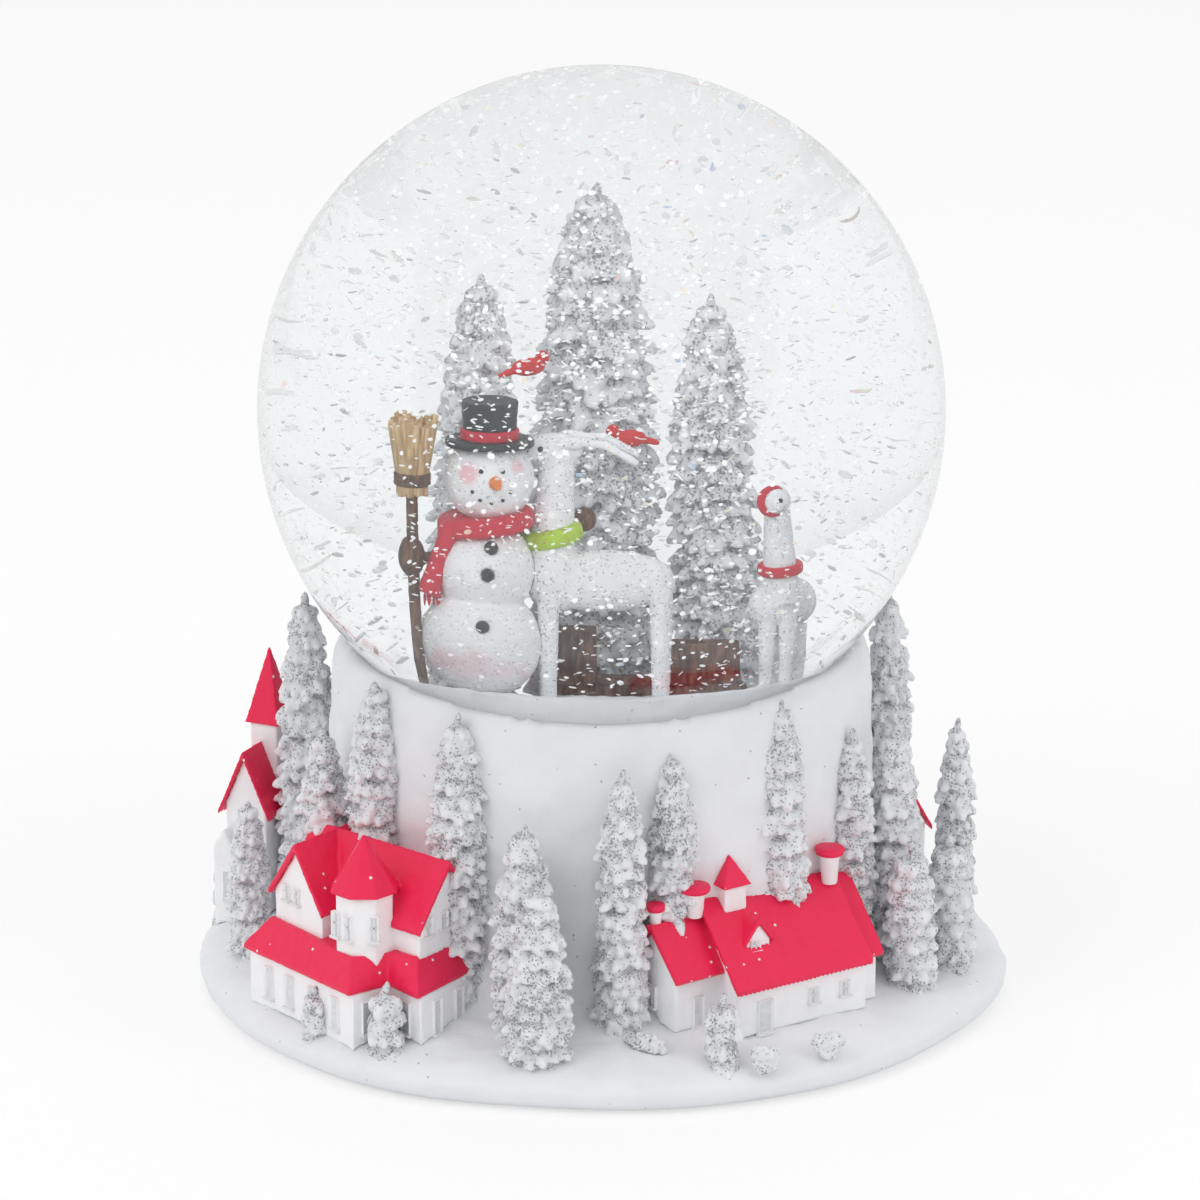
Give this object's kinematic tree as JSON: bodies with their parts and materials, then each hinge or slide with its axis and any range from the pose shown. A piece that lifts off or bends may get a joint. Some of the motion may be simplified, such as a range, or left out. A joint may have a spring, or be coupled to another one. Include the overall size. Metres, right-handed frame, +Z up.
{
  "type": "snow globe",
  "caption": "Snow globe: a liquid-filled glass ball over a snowman and deer scene, on a round snowy village base with a wind-up music movement inside.",
  "frame": {"origin": "centre of the resting face, under the middle of the base", "axes": "+Z up through the middle of the ball; -Y towards the front, where the snowman looks out; +X to the right seen from the front"},
  "size_m": [0.1454, 0.135, 0.165],
  "materials": {
    "snow_resin": "matte cast resin with fine silver glitter",
    "roof_red": "matte hand-painted red on resin",
    "globe_glass": "clear blown glass, polished",
    "liquid": "clear water",
    "stopper_rubber": "pale grey rubber",
    "flake_white": "bright white film flakes",
    "snowman_white": "matte white resin with glitter",
    "hat_black": "near-black teal paint",
    "scarf_red": "crimson paint",
    "coal_black": "black paint",
    "carrot_orange": "orange paint",
    "twig_brown": "dark brown paint",
    "straw_tan": "straw-coloured paint",
    "deer_white": "matte white resin with glitter",
    "scarf_green": "lime green paint",
    "sleigh_brown": "brown paint",
    "bird_red": "red paint",
    "fir_silver": "snowy silver glitter",
    "felt_black": "black felt",
    "plate_white": "moulded white plastic",
    "screw_steel": "zinc-plated steel",
    "bed_zinc": "cast light alloy",
    "comb_steel": "ground spring steel",
    "brass": "turned brass",
    "gear_nylon": "ivory moulded nylon",
    "key_steel": "gold-lacquered pressed steel"
  },
  "bodies": {
    "globe": {"back_cottage_roofs": "roof_red", "back_cottage_walls": "snow_resin", "base_shell": "snow_resin", "big_deer": "deer_white", "bottom_plate": "plate_white", "broom_binding": "twig_brown", "broom_stick": "twig_brown", "broom_straw": "straw_tan", "bushes": "snow_resin", "cardinals": "bird_red", "church_roofs": "roof_red", "church_walls": "snow_resin", "comb": "comb_steel", "comb_and_frame_screws": "screw_steel", "cottage_chimneys": "roof_red", "cottage_roofs": "roof_red", "cottage_walls": "snow_resin", "deer_scarf": "scarf_green", "felt_ring": "felt_black", "firs_back": "snow_resin", "firs_front": "snow_resin", "firs_left": "snow_resin", "firs_right": "snow_resin", "firs_small": "snow_resin", "globe_glass": "globe_glass", "governor_frame": "comb_steel", "hat_band": "scarf_red", "inner_fir_left": "fir_silver", "inner_fir_middle": "fir_silver", "inner_fir_right": "fir_silver", "liquid": "liquid", "movement_bedplate": "bed_zinc", "movement_screws": "screw_steel", "plate_screws": "screw_steel", "rubber_plug": "stopper_rubber", "scene_ground": "snow_resin", "sleigh": "sleigh_brown", "small_deer": "deer_white", "small_deer_harness": "scarf_red", "snow_flakes": "flake_white", "snowman_arms": "twig_brown", "snowman_body": "snowman_white", "snowman_coal": "coal_black", "snowman_hat": "hat_black", "snowman_nose": "carrot_orange", "snowman_scarf": "scarf_red", "turret_house_porch_roof": "roof_red", "turret_house_roofs": "roof_red", "turret_house_walls": "snow_resin"},
    "winding": {"winding_arbor": "comb_steel", "winding_key": "key_steel"},
    "barrel": {"spring_barrel": "brass", "barrel_cover": "brass", "mainspring": "comb_steel"},
    "cylinder": {"pinned_cylinder": "brass", "cylinder_shaft": "comb_steel", "cylinder_gear": "brass"},
    "governor_wheel": {"governor_wheel": "gear_nylon"},
    "governor_fan": {"governor_worm": "gear_nylon", "governor_fan": "gear_nylon"}
  },
  "joints": [
    {"name": "key_turn", "type": "hinge", "parent": "globe", "child": "winding", "pos_m": [-0.014, 0, 0.008], "axis": [0, 0, 1], "range_deg": [0, 2880]},
    {"name": "cylinder_spin", "type": "hinge", "parent": "globe", "child": "cylinder", "pos_m": [0, 0, 0.03093], "axis": [1, 0, 0], "continuous": true},
    {"name": "barrel_spin", "type": "hinge", "parent": "globe", "child": "barrel", "pos_m": [-0.014, 0, 0.022], "axis": [0, 0, 1], "continuous": true},
    {"name": "governor_wheel_spin", "type": "hinge", "parent": "globe", "child": "governor_wheel", "pos_m": [0.0225, 0.009, 0.03093], "axis": [1, 0, 0], "continuous": true},
    {"name": "governor_fan_spin", "type": "hinge", "parent": "globe", "child": "governor_fan", "pos_m": [0.0225, 0.015, 0.036], "axis": [0, 0, 1], "continuous": true}
  ],
  "couplings": [
    {"joint": "barrel_spin", "follows": "cylinder_spin", "ratio": 0.33333},
    {"joint": "governor_wheel_spin", "follows": "cylinder_spin", "ratio": -3},
    {"joint": "governor_fan_spin", "follows": "cylinder_spin", "ratio": 60}
  ]
}
